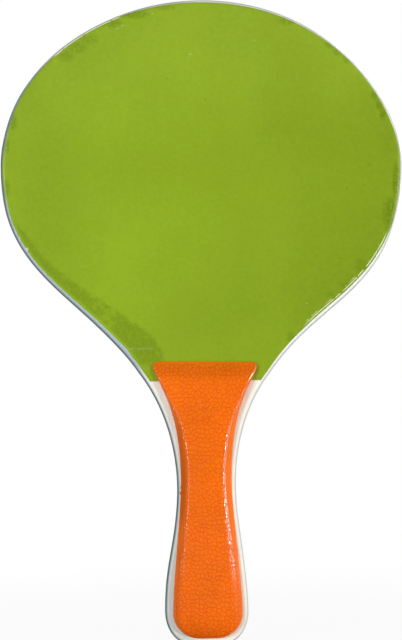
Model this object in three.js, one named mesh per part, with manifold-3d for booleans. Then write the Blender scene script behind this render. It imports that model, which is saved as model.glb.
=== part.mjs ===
// A beach racket. A five-ply wooden board carries a printed film on each face of its blade,
// and two hollow moulded grip shells are drawn together through the handle by three screws.
//
// Millimetres. X is the width, -Y the front and +Z runs from the hand towards the head.
// The origin is on the board's middle plane, where the middle screw crosses it.
import * as THREE from "three";
import { mergeVertices } from "three/addons/utils/BufferGeometryUtils.js";
import Module from "manifold-3d";

const manifold = await Module();
manifold.setup();

// Board outline, right half, from the crown down to the butt.
// A reach is how far a curve keeps the direction of the point that it leaves.
const crownTop = 296;
const crownReach = 70;
const widestHalf = 120.5;
const widestHeight = 196.5;
const shoulderReach = 48;
const bellyReach = 71;
const flankHalf = 39.5;
const flankHeight = 72;
const flankLean = THREE.MathUtils.degToRad(34.5); // from upright
const flankUpReach = 56;
const flankDownReach = 3;
const waistHalf = 17.7;
const waistHeight = 3;
const waistUpReach = 43;
const waistDownReach = 24;
const buttHalf = 25.1;
const buttDrop = 71;
const buttUpReach = 27;
const buttCornerReach = 4;
const endDrop = 93.5;
const endReach = 24.5;

// Board thickness
const plyThickness = 1.2;
const pliesEachSide = 2; // on each side of the core
const edgeRound = 1.2; // rounding of the painted edge
const boardHalf = plyThickness * (pliesEachSide + 0.5);

// Printed film
const filmThickness = 0.2;
const filmHeadInset = 1.4;
const filmFlankInset = 2.7;
const filmFlankFade = 46; // the inset grows over this height below the widest level
const filmCut = 67.3; // height of the film's straight lower edge

// Grip outline, right half, from its top edge to its end
const gripTop = 78.7;
const gripTopHalf = 33.3; // where the top edge would meet the side
const gripTopLean = THREE.MathUtils.degToRad(25.5);
const gripCornerLength = 6;
const gripCornerPullShare = 0.6;
const gripNeckReach = 16.5;
const gripWaistMargin = 2.5; // bare board beside the grip at its waist
const gripWaistHeight = 7;
const gripWaistUpReach = 38;
const gripWaistDownReach = 17;
const gripButtMargin = 4.2;
const gripButtDrop = 72;
const gripButtUpReach = 18;
const gripButtCornerReach = 8;
const gripEndMargin = 6.6;
const gripEndHalf = 5.5;
const gripEndReach = 9;

// Grip section
const gripHeight = 9; // of the crown above the board's film
const gripTopThickness = 1.8;
const lipSlope = Math.tan(THREE.MathUtils.degToRad(15.6)); // the grip rises steeply from its top edge
const lipLength = 7.2;
const lipEase = 6.6; // the steep rise dies out over this length
const gripRampLength = 65; // the rest of the rise, to full height
const crownRise = 0.8; // of the crown above the crease
const crownRiseAtTop = 0.4;
const edgeLand = 0.8; // upright foot of the grip's side
const waistDraft = THREE.MathUtils.degToRad(28.5); // slope of the grip's side from upright
const buttDraft = THREE.MathUtils.degToRad(18);
const waistCreaseRound = 1.3;
const buttCreaseRound = 3.2;
const domeLength = 21;
const domeDepthShare = 0.96;
const shellWall = 2;
const leastHollow = 0.7;

// Ribs inside the grip shells
const ribThickness = 1.4;
const ribsBetweenScrews = 2;

// Screws
const screwPitch = 53;
const shortScrewLength = 11; // at the thin top of the grip
const longScrewLength = 16;
const screwRadius = 1.75; // over the thread
const threadDepth = 0.5;
const threadPitch = 1.4;
const plainNeckLength = 3.4;
const screwTipLength = 2.2;
const headRadius = 3.4;
const headHeight = 1.9;
const headEdgeHeight = 1;
const seatHeight = 2.4; // of the head's seat above the back shell's foot
const recessWidth = 0.9;
const recessSpan = 3.6;
const recessDepth = 1.1;
const screwClearance = 0.3;
const headClearance = 0.4;
const boardHoleRadius = 2.6;
const bossWall = 2.2;

// Fineness of the mesh
const curveSteps = { crown: 17, belly: 17, neck: 9, butt: 11, end: 8 };
const gripSteps = { corner: 4, neck: 14, butt: 10, end: 7 };
const edgeSteps = 4;
const creaseSteps = 3;
const crownSteps = 4;
const roundSides = 20;
const screwSides = 14;
const overrun = 1; // by which a cut passes the face that it opens
const weld = 1e-4;

// Places worked out from the sizes above
const filmFace = boardHalf + filmThickness;
const screwHeights = { top: screwPitch, middle: 0, bottom: -screwPitch };
const seatLevel = filmFace + seatHeight;
const screwHoleRadius = screwRadius + screwClearance;
const counterboreRadius = headRadius + headClearance;

// Materials
const paintedWood = () => new THREE.MeshStandardMaterial({ color: 0xe9e6dc, roughness: 0.45 });
const bareWood = () => new THREE.MeshStandardMaterial({ color: 0xcdb48a, roughness: 0.8 });
const greenFilm = () => new THREE.MeshStandardMaterial({ color: 0x92ac2b, roughness: 0.38 });
const orangePlastic = () => new THREE.MeshStandardMaterial({ color: 0xee6e16, roughness: 0.5 });
const steel = () => new THREE.MeshStandardMaterial({ color: 0xb4b6ba, roughness: 0.35, metalness: 1 });

// Curves

function point(x, z) {
  return new THREE.Vector2(x, z);
}

// One stretch of an outline. Each end is { at, toward, reach }: its place, the direction in which the
// outline runs there and how far the curve holds that direction.
function stretch(start, end, steps) {
  const leave = start.at.clone().addScaledVector(start.toward, start.reach);
  const arrive = end.at.clone().addScaledVector(end.toward, -end.reach);
  return new THREE.CubicBezierCurve(start.at, leave, arrive, end.at).getPoints(steps);
}

// Stretches joined end to end, with each shared point once
function joined(stretches) {
  return stretches.flatMap((points, index) => (index === 0 ? points : points.slice(1)));
}

const outward = point(1, 0);
const inward = point(-1, 0);
const downward = point(0, -1);

// Right half of the board, from the crown to the middle of the end
function boardHalfOutline() {
  const lean = point(-Math.sin(flankLean), -Math.cos(flankLean));
  const widest = point(widestHalf, widestHeight);
  const flank = point(flankHalf, flankHeight);
  const waist = point(waistHalf, waistHeight);
  const butt = point(buttHalf, -buttDrop);
  return joined([
    stretch(
      { at: point(0, crownTop), toward: outward, reach: crownReach },
      { at: widest, toward: downward, reach: shoulderReach },
      curveSteps.crown,
    ),
    stretch(
      { at: widest, toward: downward, reach: bellyReach },
      { at: flank, toward: lean, reach: flankUpReach },
      curveSteps.belly,
    ),
    stretch(
      { at: flank, toward: lean, reach: flankDownReach },
      { at: waist, toward: downward, reach: waistUpReach },
      curveSteps.neck,
    ),
    stretch(
      { at: waist, toward: downward, reach: waistDownReach },
      { at: butt, toward: downward, reach: buttUpReach },
      curveSteps.butt,
    ),
    stretch(
      { at: butt, toward: downward, reach: buttCornerReach },
      { at: point(0, -endDrop), toward: inward, reach: endReach },
      curveSteps.end,
    ),
  ]);
}

// Right half of the grip, from the corner of its top edge to the flat of its end
function gripHalfOutline() {
  const side = point(-Math.sin(gripTopLean), -Math.cos(gripTopLean));
  const corner = point(gripTopHalf, gripTop);
  const cornerStart = corner.clone().addScaledVector(inward, gripCornerLength);
  const cornerEnd = corner.clone().addScaledVector(side, gripCornerLength);
  const cornerPull = gripCornerLength * gripCornerPullShare;
  const waist = point(waistHalf - gripWaistMargin, gripWaistHeight);
  const butt = point(buttHalf - gripButtMargin, -gripButtDrop);
  return joined([
    stretch(
      { at: cornerStart, toward: outward, reach: cornerPull },
      { at: cornerEnd, toward: side, reach: cornerPull },
      gripSteps.corner,
    ),
    stretch(
      { at: cornerEnd, toward: side, reach: gripNeckReach },
      { at: waist, toward: downward, reach: gripWaistUpReach },
      gripSteps.neck,
    ),
    stretch(
      { at: waist, toward: downward, reach: gripWaistDownReach },
      { at: butt, toward: downward, reach: gripButtUpReach },
      gripSteps.butt,
    ),
    stretch(
      { at: butt, toward: downward, reach: gripButtCornerReach },
      { at: point(gripEndHalf, gripEndMargin - endDrop), toward: inward, reach: gripEndReach },
      gripSteps.end,
    ),
  ]);
}

// The half outline drawn inwards, square to itself, by insetAt(height)
function drawnIn(half, insetAt) {
  return half.map((here, index) => {
    const before = half[Math.max(index - 1, 0)];
    const after = half[Math.min(index + 1, half.length - 1)];
    const along = after.clone().sub(before).normalize();
    if (here.x === 0) along.set(Math.sign(along.x), 0); // the outline crosses the middle square to it
    const inset = insetAt(here.y);
    return point(here.x + along.y * inset, here.y - along.x * inset);
  });
}

// The half outline cut off level at a height
function cutBelow(half, height) {
  const kept = half.filter((p) => p.y > height);
  const above = kept[kept.length - 1];
  const below = half[kept.length];
  const share = (above.y - height) / (above.y - below.y);
  return [...kept, above.clone().lerp(below, share)];
}

// Both halves as one closed loop, with no point twice
function mirrored(half) {
  const left = half.filter((p) => p.x > 0).map((p) => point(-p.x, p.y));
  return [...half, ...left.reverse()];
}

// Solids

// A closed body through loops of equal length. flatten turns a loop's point into the plane of its cap.
function loft(loops, flatten) {
  const size = loops[0].length;
  const corners = loops.flat().flatMap((p) => [p.x, p.y, p.z]);
  const faces = [];
  for (let ring = 0; ring + 1 < loops.length; ring++) {
    for (let i = 0; i < size; i++) {
      const next = (i + 1) % size;
      const a = ring * size + i;
      const b = ring * size + next;
      faces.push([a, b, b + size], [a, b + size, a + size]);
    }
  }
  const last = (loops.length - 1) * size;
  faces.push(...cap(loops[0], flatten).map(([a, b, c]) => [a, c, b]));
  faces.push(...cap(loops[loops.length - 1], flatten).map((face) => face.map((i) => i + last)));
  const geometry = new THREE.BufferGeometry();
  geometry.setAttribute("position", new THREE.Float32BufferAttribute(corners, 3));
  const outwardFaces = volumeOf(corners, faces) < 0 ? faces.map(([a, b, c]) => [a, c, b]) : faces;
  geometry.setIndex(outwardFaces.flat());
  return geometry;
}

// Triangles over a loop, all turning the way that the loop does
function cap(loop, flatten) {
  const flat = loop.map(flatten);
  const turn = Math.sign(THREE.ShapeUtils.area(flat));
  return THREE.ShapeUtils.triangulateShape(flat, []).map(([a, b, c]) => {
    const own = Math.sign(THREE.ShapeUtils.area([flat[a], flat[b], flat[c]]));
    return own === turn ? [a, b, c] : [a, c, b];
  });
}

function volumeOf(corners, faces) {
  const at = (i) => new THREE.Vector3().fromArray(corners, i * 3);
  return faces.reduce((sum, [a, b, c]) => sum + at(a).dot(at(b).cross(at(c))), 0);
}

function toSolid(geometry) {
  const bare = geometry.clone();
  bare.deleteAttribute("normal");
  bare.deleteAttribute("uv");
  const merged = mergeVertices(bare, weld);
  return new manifold.Manifold(
    new manifold.Mesh({
      numProp: 3,
      vertProperties: merged.attributes.position.array,
      triVerts: new Uint32Array(merged.index.array),
    }),
  );
}

function toGeometry(solid) {
  const mesh = solid.getMesh();
  const geometry = new THREE.BufferGeometry();
  geometry.setAttribute("position", new THREE.BufferAttribute(mesh.vertProperties, mesh.numProp));
  geometry.setIndex(new THREE.BufferAttribute(mesh.triVerts, 1));
  return geometry;
}

// A round bar along Y between two levels
function bar(radius, from, to, height) {
  const geometry = new THREE.CylinderGeometry(radius, radius, to - from, roundSides);
  return toSolid(geometry.translate(0, (from + to) / 2, height));
}

function block(width, depth, length, x, y, z) {
  return toSolid(new THREE.BoxGeometry(width, depth, length).translate(x, y, z));
}

// Board

// How far the rounded edge has drawn in at a level across the thickness
function edgeInset(level) {
  const intoRound = Math.abs(level) - (boardHalf - edgeRound);
  if (intoRound <= 0) return 0;
  return edgeRound - Math.sqrt(Math.max(edgeRound ** 2 - intoRound ** 2, 0));
}

// Levels at which a ply needs a loop: its two faces, and the steps of the rounded edge between them
function plyLevels(from, to) {
  const levels = [from, to];
  for (let step = 0; step < edgeSteps; step++) {
    const level = boardHalf - edgeRound + edgeRound * Math.sin((step / edgeSteps) * (Math.PI / 2));
    for (const side of [level, -level]) if (side > from + weld && side < to - weld) levels.push(side);
  }
  return levels.sort((a, b) => a - b);
}

function ply(from, to) {
  const half = boardHalfOutline();
  const loops = plyLevels(from, to).map((level) => {
    const loop = mirrored(drawnIn(half, () => edgeInset(level)));
    return loop.map((p) => new THREE.Vector3(p.x, level, p.y));
  });
  let solid = toSolid(loft(loops, (p) => point(p.x, p.z)));
  for (const height of Object.values(screwHeights)) {
    solid = solid.subtract(bar(boardHoleRadius, from - overrun, to + overrun, height));
  }
  return toGeometry(solid);
}

// Film

function filmInset(height) {
  const below = THREE.MathUtils.smoothstep(widestHeight - height, 0, filmFlankFade);
  return THREE.MathUtils.lerp(filmHeadInset, filmFlankInset, below);
}

function film(from, to) {
  const loop = mirrored(cutBelow(drawnIn(boardHalfOutline(), filmInset), filmCut));
  const loops = [from, to].map((level) => loop.map((p) => new THREE.Vector3(p.x, level, p.y)));
  return loft(loops, (p) => point(p.x, p.z));
}

// Grip. A shell is drawn with its foot at level 0 and rises towards +Y.

// 0 at the thin top edge, 1 where the grip has its full height
function gripRamp(height) {
  return THREE.MathUtils.smoothstep(gripTop - height, 0, gripRampLength);
}

// What the steep rise below the top edge has gained at a distance from that edge
function lipRise(distance) {
  const easing = THREE.MathUtils.clamp(distance - lipLength, 0, lipEase);
  return lipSlope * (Math.min(distance, lipLength + lipEase) - easing ** 2 / (2 * lipEase));
}

// 1 along the grip, falling in a round to its end
function gripDome(height) {
  const past = Math.max(domeLength - (height + endDrop - gripEndMargin), 0) / domeLength;
  return Math.sqrt(1 - (past * domeDepthShare) ** 2);
}

function crownHeightAt(height) {
  const afterLip = gripHeight - gripTopThickness - lipRise(lipLength + lipEase);
  const flat = gripTopThickness + lipRise(gripTop - height) + afterLip * gripRamp(height);
  return flat * gripDome(height);
}

function creaseHeightAt(height) {
  const rise = THREE.MathUtils.lerp(crownRiseAtTop, crownRise, gripRamp(height));
  return crownHeightAt(height) - rise * gripDome(height);
}

// A value that changes from the grip's waist down to its butt
function downGrip(atWaist, atButt, height) {
  const below = THREE.MathUtils.smoothstep(waistHeight - height, 0, buttDrop);
  return THREE.MathUtils.lerp(atWaist, atButt, below);
}

// Right half of a section across the grip, from its foot to the middle of its crown
function sectionHalf(half, height, wall) {
  const crown = crownHeightAt(height) - wall;
  const crease = Math.min(creaseHeightAt(height) - wall, crown);
  const foot = half - wall;
  const land = Math.min(edgeLand, crease / 2);
  const lean = Math.tan(downGrip(waistDraft, buttDraft, height));
  const creaseHalf = foot - (crease - land) * lean;
  const round = Math.min(downGrip(waistCreaseRound, buttCreaseRound, height), (crease - land) / 2);
  const crownAt = (x) => crown - (crown - crease) * (x / creaseHalf) ** 2;
  const below = point(creaseHalf + round * lean, crease - round);
  const beyond = point(creaseHalf - round, crownAt(creaseHalf - round));
  const crest = new THREE.QuadraticBezierCurve(below, point(creaseHalf, crease), beyond);
  const points = [point(foot, 0), point(foot, land), ...crest.getPoints(creaseSteps)];
  for (let step = 1; step <= crownSteps; step++) {
    const x = beyond.x * (1 - step / crownSteps);
    points.push(point(x, crownAt(x)));
  }
  return points;
}

function gripOutside() {
  const loops = gripHalfOutline().map((here) =>
    mirrored(sectionHalf(here.x, here.y, 0)).map((p) => new THREE.Vector3(p.x, p.y, here.y)),
  );
  return toSolid(loft(loops, (p) => point(p.x, p.y)));
}

// The hollow runs where the grip is high enough for one, and opens through the foot
function gripHollow() {
  const start = gripTop - shellWall;
  const end = gripEndMargin - endDrop + shellWall;
  const hollow = gripHalfOutline().filter(
    (here) => here.y < start && here.y > end && creaseHeightAt(here.y) - shellWall > leastHollow,
  );
  const loops = hollow.map((here) => {
    const section = sectionHalf(here.x, here.y, shellWall);
    section[0].y = -overrun;
    return mirrored(section).map((p) => new THREE.Vector3(p.x, p.y, here.y));
  });
  return toSolid(loft(loops, (p) => point(p.x, p.y)));
}

// A spine along the shell and cross ribs between the screws
function ribs() {
  const reach = gripHeight + overrun;
  const width = gripTopHalf * 2;
  const length = gripTop + endDrop;
  let all = block(ribThickness, reach, length, 0, reach / 2, (gripTop - endDrop) / 2);
  const spacing = screwPitch / (ribsBetweenScrews + 1);
  for (let height = screwHeights.top - spacing; height > screwHeights.bottom; height -= spacing) {
    const atScrew = Object.values(screwHeights).some((h) => Math.abs(h - height) < ribThickness);
    if (!atScrew) all = all.add(block(width, reach, ribThickness, 0, reach / 2, height));
  }
  return all;
}

// One shell. holesAt(name) lists the bores { radius, from, to } at the screw of that name.
function gripShell(bossRadius, holesAt) {
  let hollow = gripHollow().subtract(ribs());
  for (const height of Object.values(screwHeights)) {
    hollow = hollow.subtract(bar(bossRadius, 0, gripHeight + overrun, height));
  }
  let shell = gripOutside().subtract(hollow);
  for (const [name, height] of Object.entries(screwHeights)) {
    for (const hole of holesAt(name)) {
      shell = shell.subtract(bar(hole.radius, hole.from, hole.to, height));
    }
  }
  return toGeometry(shell);
}

function screwLength(name) {
  return name === "top" ? shortScrewLength : longScrewLength;
}

// The back shell is bored right through, with a seat for each screw's head
function backShell() {
  return gripShell(counterboreRadius + bossWall, () => [
    { radius: screwHoleRadius, from: -overrun, to: gripHeight },
    { radius: counterboreRadius, from: seatHeight, to: gripHeight + overrun },
  ]);
}

// The front shell takes the screws' points in blind holes
function frontShell() {
  return gripShell(screwHoleRadius + bossWall, (name) => {
    const depth = screwLength(name) - (seatLevel + filmFace);
    return [{ radius: screwHoleRadius, from: -overrun, to: depth + screwClearance }];
  });
}

// Screws, drawn along Y with the head's seat at level 0 and the point towards -Y

function screwProfile(length) {
  const root = screwRadius - threadDepth;
  const threadEnd = screwTipLength - length;
  const profile = [point(0, -length), point(root, threadEnd)];
  for (let level = threadEnd + threadPitch / 2; level < -plainNeckLength; level += threadPitch) {
    profile.push(point(screwRadius, level), point(root, level + threadPitch / 2));
  }
  profile.push(point(root, 0), point(headRadius, 0), point(headRadius, headEdgeHeight));
  const dome = new THREE.QuadraticBezierCurve(
    point(headRadius, headEdgeHeight),
    point(headRadius, headHeight),
    point(headRadius / 2, headHeight),
  );
  profile.push(...dome.getPoints(creaseSteps).slice(1), point(0, headHeight));
  return profile;
}

function screw(length) {
  const turned = new THREE.LatheGeometry(screwProfile(length), screwSides);
  const depth = recessDepth + overrun;
  const level = headHeight - recessDepth + depth / 2;
  const solid = toSolid(turned)
    .subtract(block(recessSpan, depth, recessWidth, 0, level, 0))
    .subtract(block(recessWidth, depth, recessSpan, 0, level, 0));
  return toGeometry(solid);
}

// Assembly

function named(name, geometry, material) {
  const mesh = new THREE.Mesh(geometry, material);
  geometry.computeVertexNormals();
  mesh.name = name;
  return mesh;
}

function board() {
  const group = new THREE.Group();
  const names = ["face_ply_front", "crossband_front", "core_ply", "crossband_back", "face_ply_back"];
  names.forEach((name, index) => {
    const from = index * plyThickness - boardHalf;
    const material = name.startsWith("face") ? paintedWood() : bareWood();
    group.add(named(name, ply(from, from + plyThickness), material));
  });
  return group;
}

function films() {
  const group = new THREE.Group();
  group.add(named("print_film_front", film(-filmFace, -boardHalf), greenFilm()));
  group.add(named("print_film_back", film(boardHalf, filmFace), greenFilm()));
  return group;
}

function grip() {
  const group = new THREE.Group();
  const front = named("grip_shell_front", frontShell(), orangePlastic());
  front.rotation.z = Math.PI;
  front.position.y = -filmFace;
  const back = named("grip_shell_back", backShell(), orangePlastic());
  back.position.y = filmFace;
  group.add(front, back);
  return group;
}

function screws() {
  const group = new THREE.Group();
  for (const [name, height] of Object.entries(screwHeights)) {
    const mesh = named(`grip_screw_${name}`, screw(screwLength(name)), steel());
    mesh.position.set(0, seatLevel, height);
    group.add(mesh);
  }
  return group;
}

const racket = new THREE.Group();
racket.add(board(), films(), grip(), screws());

export default racket;
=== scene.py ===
import bisect
import math

import bmesh
import bpy
from mathutils import Matrix, Vector, geometry, kdtree


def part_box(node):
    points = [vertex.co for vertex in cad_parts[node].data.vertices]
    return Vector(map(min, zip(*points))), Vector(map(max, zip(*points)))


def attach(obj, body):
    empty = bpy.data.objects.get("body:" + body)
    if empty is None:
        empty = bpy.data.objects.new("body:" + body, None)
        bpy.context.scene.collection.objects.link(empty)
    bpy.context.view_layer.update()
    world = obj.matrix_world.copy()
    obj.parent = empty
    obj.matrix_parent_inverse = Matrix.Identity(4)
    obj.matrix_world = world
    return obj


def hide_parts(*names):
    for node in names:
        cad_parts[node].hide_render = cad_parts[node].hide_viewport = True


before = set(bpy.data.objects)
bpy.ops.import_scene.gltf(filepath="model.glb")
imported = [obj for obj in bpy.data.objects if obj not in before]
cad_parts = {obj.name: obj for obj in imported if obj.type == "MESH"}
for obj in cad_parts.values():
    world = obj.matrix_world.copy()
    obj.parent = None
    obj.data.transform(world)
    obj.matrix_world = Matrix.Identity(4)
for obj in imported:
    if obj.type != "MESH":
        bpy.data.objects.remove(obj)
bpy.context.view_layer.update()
mm = 0.001
tiny = 1e-6       # a length or a share below this counts as nothing
overrun = 1.0     # mm by which a cutter passes beyond what it cuts
print("stage 1: frame loaded")


# Sizes read from the frame, in millimetres
def sizesOf(nodeName):
    low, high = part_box(nodeName)
    return low / mm, high / mm


coreLow, coreHigh = sizesOf("core_ply")
facePlyHigh = sizesOf("face_ply_back")[1]
filmHigh = sizesOf("print_film_back")[1]
gripLow, gripHigh = sizesOf("grip_shell_back")
screwNames = ["grip_screw_top", "grip_screw_middle", "grip_screw_bottom"]
screwHeights = [(sizesOf(name)[0].z + sizesOf(name)[1].z) / 2 for name in screwNames]


# Outlines. A knot is a place (x, z) that the outline passes, the direction in which it runs there
# in degrees below the horizontal, and how far it keeps that direction before and after the place.
fewestSteps = 4    # of the curve between two knots


def smoothPath(knots, spacing):
    points = []
    for here, following in zip(knots, knots[1:]):
        start, end = Vector(here["at"]), Vector(following["at"])
        leave = start + headingOf(here) * here["after"]
        arrive = end - headingOf(following) * following["before"]
        count = max(fewestSteps, round((end - start).length / spacing))
        points += geometry.interpolate_bezier(start, leave, arrive, end, count + 1)[:-1]
    return points + [Vector(knots[-1]["at"])]


def headingOf(knot):
    angle = math.radians(knot["heading"])
    return Vector((math.cos(angle), -math.sin(angle)))


# Draws a half outline inwards, square to itself, by insetAt(height)
def drawnIn(points, insetAt):
    moved = []
    for index, here in enumerate(points):
        before = points[max(index - 1, 0)]
        after = points[min(index + 1, len(points) - 1)]
        along = (after - before).normalized()
        if abs(here.x) < tiny:
            along = Vector((math.copysign(1, along.x), 0))
        inset = insetAt(here.y)
        moved.append(Vector((here.x + along.y * inset, here.y - along.x * inset)))
    return moved


def smooth(value, low, high):
    share = min(max((value - low) / (high - low), 0), 1)
    return share * share * (3 - 2 * share)


def blendOf(first, second, share):
    return first + (second - first) * share


# Reads a value from a short list of (height, value) pairs, easing from one to the next
def valueAt(pairs, height):
    for (upper, first), (lower, second) in zip(pairs, pairs[1:]):
        if height >= lower:
            return blendOf(first, second, smooth(height, upper, lower))
    return pairs[-1][1]


# Pieces
def ring(bm, half, level):
    whole = half + [Vector((-p.x, p.y)) for p in reversed(half[1:-1])]
    verts = [bm.verts.new((p.x * mm, level * mm, p.y * mm)) for p in whole]
    return [bm.edges.new(pair) for pair in zip(verts, verts[1:] + verts[:1])]


def objectFrom(name, bm):
    made = bpy.data.objects.new(name, bpy.data.meshes.new(name))
    bm.to_mesh(made.data)
    bm.free()
    bpy.context.scene.collection.objects.link(made)
    return made


def finishPiece(node, finish, bm, material, smoothAngle=35):
    bmesh.ops.recalc_face_normals(bm, faces=bm.faces)
    piece = objectFrom(node + "_" + finish, bm)
    piece.data.shade_smooth()
    piece.data.set_sharp_from_angle(angle=math.radians(smoothAngle))
    piece.data.materials.append(material)
    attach(piece, "root")
    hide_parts(node)
    return piece


def cutAway(piece, bm):
    cutter = objectFrom("cutter", bm)
    cut = piece.modifiers.new("holes", "BOOLEAN")
    cut.operation, cut.solver, cut.object = "DIFFERENCE", "EXACT", cutter
    evaluated = piece.evaluated_get(bpy.context.evaluated_depsgraph_get())
    shape = bpy.data.meshes.new_from_object(evaluated)
    piece.modifiers.clear()
    piece.data = shape
    bpy.data.objects.remove(cutter)


# Shader nodes. A noise is a scale, a detail and a roughness; what is shown of it runs between two of
# its values; a span is a stretch of heights or depths in millimetres.
def addNode(tree, kind, inputs=None, **settings):
    made = tree.nodes.new("ShaderNode" + kind)
    for key, value in settings.items():
        setattr(made, key, value)
    feedAll(tree, made, inputs or {})
    return made


def feedAll(tree, node, inputs):
    for key, value in inputs.items():
        feed(tree, node.inputs[key], value)


def feed(tree, socket, value):
    if isinstance(value, bpy.types.NodeSocket):
        tree.links.new(value, socket)
    else:
        socket.default_value = value


def calc(tree, operation, first, second=0.0):
    return addNode(tree, "Math", {0: first, 1: second}, operation=operation).outputs[0]


def product(tree, *values):
    total = values[0]
    for value in values[1:]:
        total = calc(tree, "MULTIPLY", total, value)
    return total


# The square of a distance that has these two parts
def squareOf(tree, first, second):
    return calc(tree, "ADD", product(tree, first, first), product(tree, second, second))


def remap(tree, value, low, high, to=(0.0, 1.0)):
    inputs = {"Value": value, "From Min": low, "From Max": high, "To Min": to[0], "To Max": to[1]}
    return addNode(tree, "MapRange", inputs, interpolation_type="SMOOTHSTEP").outputs[0]


# 1 inside low..high of a value, falling off over soft on both sides
def bandOf(tree, value, low, high, soft):
    rise = remap(tree, value, low - soft, low)
    fall = remap(tree, value, high, high + soft, (1.0, 0.0))
    return calc(tree, "MULTIPLY", rise, fall)


def tint(tree, factor, first, second, blend="MIX"):
    made = addNode(tree, "Mix", {"Factor": factor}, data_type="RGBA", blend_type=blend)
    feed(tree, made.inputs[6], first)     # sockets 6 and 7 are the two colours
    feed(tree, made.inputs[7], second)
    return made.outputs[2]


def greyOf(tree, value):
    return addNode(tree, "CombineColor", {0: value, 1: value, 2: value}).outputs[0]


# A colour made darker or lighter by a tone
def toned(tree, colour, tone):
    return tint(tree, 1.0, colour, greyOf(tree, tone), "MULTIPLY")


middling = (0.3, 0.7)    # most of a noise's values lie between these


def noiseOf(tree, coords, scale, detail=2.0, rough=0.5, output="Fac"):
    inputs = {"Vector": coords, "Scale": scale, "Detail": detail, "Roughness": rough}
    return addNode(tree, "TexNoise", inputs).outputs[output]


def objectCoords(tree):
    return addNode(tree, "TexCoord").outputs["Object"]


def attributeOf(tree, name):
    return addNode(tree, "Attribute", attribute_name=name).outputs["Fac"]


def stretched(tree, coords, scale):
    return addNode(tree, "Mapping", {"Vector": coords, "Scale": scale}, vector_type="TEXTURE").outputs[0]


def vectorOf(tree, operation, inputs):
    return addNode(tree, "VectorMath", inputs, operation=operation).outputs[0]


def axesOf(tree, coords):
    made = addNode(tree, "SeparateXYZ", {"Vector": coords})
    return made.outputs[0], made.outputs[1], made.outputs[2]


# Where a point of a piece lies, in millimetres
def placeOf(tree, coords):
    return axesOf(tree, vectorOf(tree, "SCALE", {0: coords, "Scale": 1 / mm}))


def rgba(red, green, blue):
    return (red, green, blue, 1.0)


def startMaterial(name):
    material = bpy.data.materials.new(name)
    material.use_nodes = True
    tree = material.node_tree
    return material, tree, tree.nodes["Principled BSDF"]


# Distance is in millimetres; onto is the normal that an earlier bump gave
def addBump(tree, shader, height, distance, strength=1.0, onto=None):
    inputs = {"Height": height, "Distance": distance * mm, "Strength": strength}
    if onto is not None:
        inputs["Normal"] = onto
    made = addNode(tree, "Bump", inputs)
    tree.links.new(made.outputs[0], shader.inputs["Normal"])
    return made.outputs[0]


# White lacquered board
boardPlies = ["face_ply_front", "crossband_front", "core_ply", "crossband_back", "face_ply_back"]
boardKnots = [
    {"at": (0, coreHigh.z), "heading": 0, "before": 0, "after": 70},
    {"at": (coreHigh.x, 196.5), "heading": 90, "before": 48, "after": 71},
    {"at": (39.5, 72), "heading": 124.5, "before": 56, "after": 3},
    {"at": (17.7, 3), "heading": 90, "before": 43, "after": 24},
    {"at": (25.1, -71), "heading": 90, "before": 27, "after": 4},
    {"at": (0, coreLow.z), "heading": 180, "before": 24.5, "after": 0},
]
boardLook = {
    "outlineSpacing": 2.0,      # mm between outline points
    "edgeRound": 2.9,           # rounding of the board's edges
    "roundSteps": 7,            # steps between one ply's two seams
    "seam": 0.07,               # groove between two plies, under the paint
    "rimShares": (1 / 3, 1 / 12),    # of the seam, for extra rings beside a ply's outer face
    "holeRadius": 2.6, "holeSteps": 40,
    "smoothAngle": 50,
    # how far the board wanders sideways from its middle plane, by height
    "sway": [(296, 0), (262, -1.5), (245, -1.3), (212, -0.1), (200, 0), (172, 0), (120, 2.3),
             (86, 0.8), (55, 0.5), (0, 0.8), (-20, 0.8), (-55, 0), (-95, 0)],
    "paint": rgba(0.97, 0.98, 0.9),
    "roughness": (0.32, 0.46), "specular": 0.4,
    "fibres": {"noise": (900, 4.0, 0.6), "lengthwise": 22, "shown": (0.5, 0.78), "share": 0.42,
               "colour": rgba(0.68, 0.66, 0.54), "depth": 0.06, "strength": 0.6},
    # darker dirty patches at random
    "grimeAndShade": {"noise": (35, 3.0), "shown": (0.45, 0.75), "share": 0.1,
              "colour": rgba(0.45, 0.44, 0.38)},
    "specks": {"noise": (1400, 1.0), "shown": (0.74, 0.8)},
    "ripple": {"noise": (260, 2.0), "depth": 0.08, "strength": 0.5},
    # painted shade along the left side and painted light and shade along the right, by height and by
    # depth from the middle plane
    "sideSpan": (4, -12),       # the left side's painted shade sets in over this stretch of x
    "frontSpan": (1.4, -0.8),   # the left painted shade grows over this stretch of y, from the back
    "shadeAtBack": 0.2,
    "leftMarginShade": {"below": (35, 5), "colour": rgba(0.72, 0.8, 0.74)},    # painted shade: duller, on the handle's left margin
    # painted shade: blue-grey along the left flank's edge
    "leftFlankShade": {"from": 80, "to": 250, "soft": 15, "depth": (3.2, 2.9), "onFace": 0.75,
                  "colour": rgba(0.44, 0.55, 0.58)},
    # painted light: whiter along the right flank's edge
    "rightFlankLight": {"from": 95, "to": 170, "soft": 20, "colour": rgba(0.97, 0.99, 1.0)},
    # painted shade: dark slate on the left rim
    "leftRimShade": {"depth": (2.98, 1.9), "shiftSpan": (160, 180), "shift": 0.2,
                "paleSpan": (200, 260), "paleShare": 0.5, "colour": rgba(0.145, 0.175, 0.19)},
    # painted shade: grey on the right rim
    "rightRimShade": {"depth": (2.7, 1.8), "colour": rgba(0.6, 0.61, 0.6)},
}
boardOutline = smoothPath(boardKnots, boardLook["outlineSpacing"])


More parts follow.
